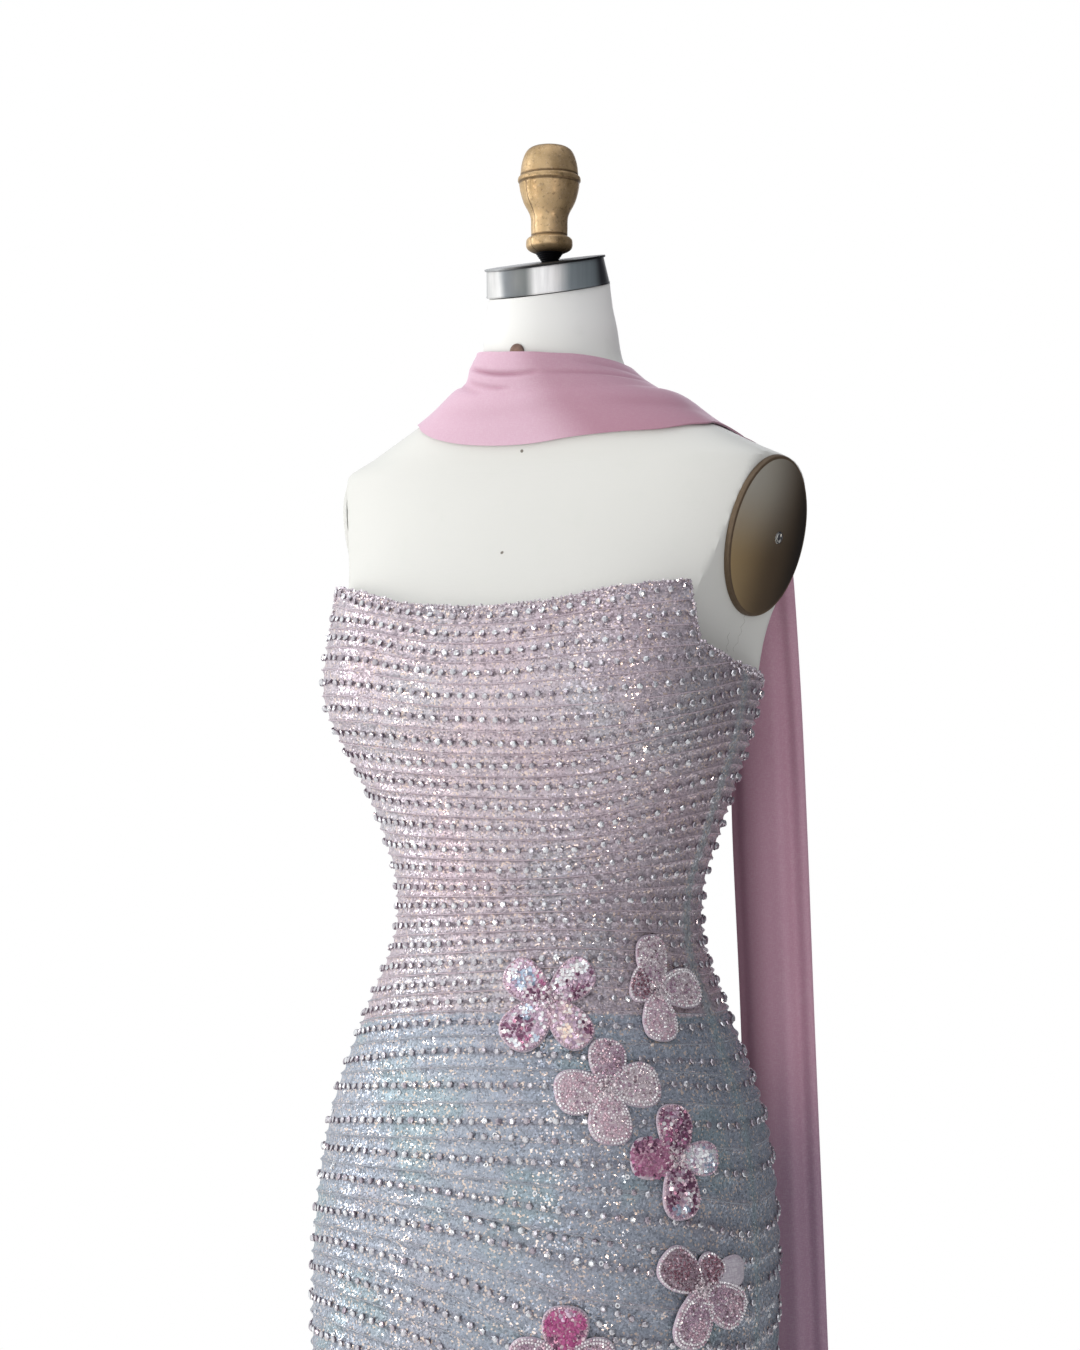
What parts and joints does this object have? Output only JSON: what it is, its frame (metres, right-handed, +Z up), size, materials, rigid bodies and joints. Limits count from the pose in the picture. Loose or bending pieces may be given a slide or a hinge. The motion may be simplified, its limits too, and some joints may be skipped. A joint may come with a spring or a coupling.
{
  "type": "beaded strapless evening gown with neck scarf on a dress form",
  "caption": "Floor-length fitted strapless gown with flower appliques and a long neck scarf, standing on a limbless dress form with a turned finial.",
  "frame": {"origin": "On the floor, at the centre of the base's underside, on the axis of the pole.", "axes": "+Z up along the pole; the gown faces -Y; its left side is +X."},
  "size_m": [0.4422, 0.426, 1.63],
  "materials": {
    "beaded_tulle": "tulle sewn all over with fine silver glitter, corded lines and rows of crystal beads",
    "flower_sequins": "overlapping iridescent sequins, magenta to silver",
    "flower_beads": "pale pink bugle beads with a beaded border on organza",
    "zip_metal": "satin nickel",
    "chiffon": "matt dusty pink chiffon",
    "form_cover": "smooth primed linen, warm white",
    "brushed_steel": "brushed round the neck",
    "black_steel": "blackened thread",
    "aged_brass": "antique gold, rubbed dark in the grooves",
    "bronze": "dark satin bronze",
    "stand_iron": "black enamel"
  },
  "bodies": {
    "gown_and_form": {"gown_front": "beaded_tulle", "gown_back_left": "beaded_tulle", "gown_back_right": "beaded_tulle", "flower_1": "flower_sequins", "flower_2": "flower_beads", "flower_3": "flower_beads", "flower_4": "flower_sequins", "flower_5": "flower_beads", "flower_6": "flower_sequins", "zip_slider": "zip_metal", "scarf_front": "chiffon", "scarf_tail_left": "chiffon", "scarf_tail_right": "chiffon", "form_torso": "form_cover", "neck_cap": "brushed_steel", "neck_bolt": "black_steel", "finial": "aged_brass", "arm_plate_left": "bronze", "arm_plate_right": "bronze", "plate_screw_left": "brushed_steel", "plate_screw_right": "brushed_steel", "neck_stud": "bronze", "stand_base": "stand_iron", "stand_socket": "stand_iron", "stand_pole": "brushed_steel"},
    "pull_tab": {"zip_pull": "zip_metal"}
  },
  "joints": [
    {"name": "pull_tab_swing", "type": "hinge", "parent": "gown_and_form", "child": "pull_tab", "pos_m": [0, 0.10978, 1.2231], "axis": [1, 0, 0], "range_deg": [0, 150]}
  ]
}
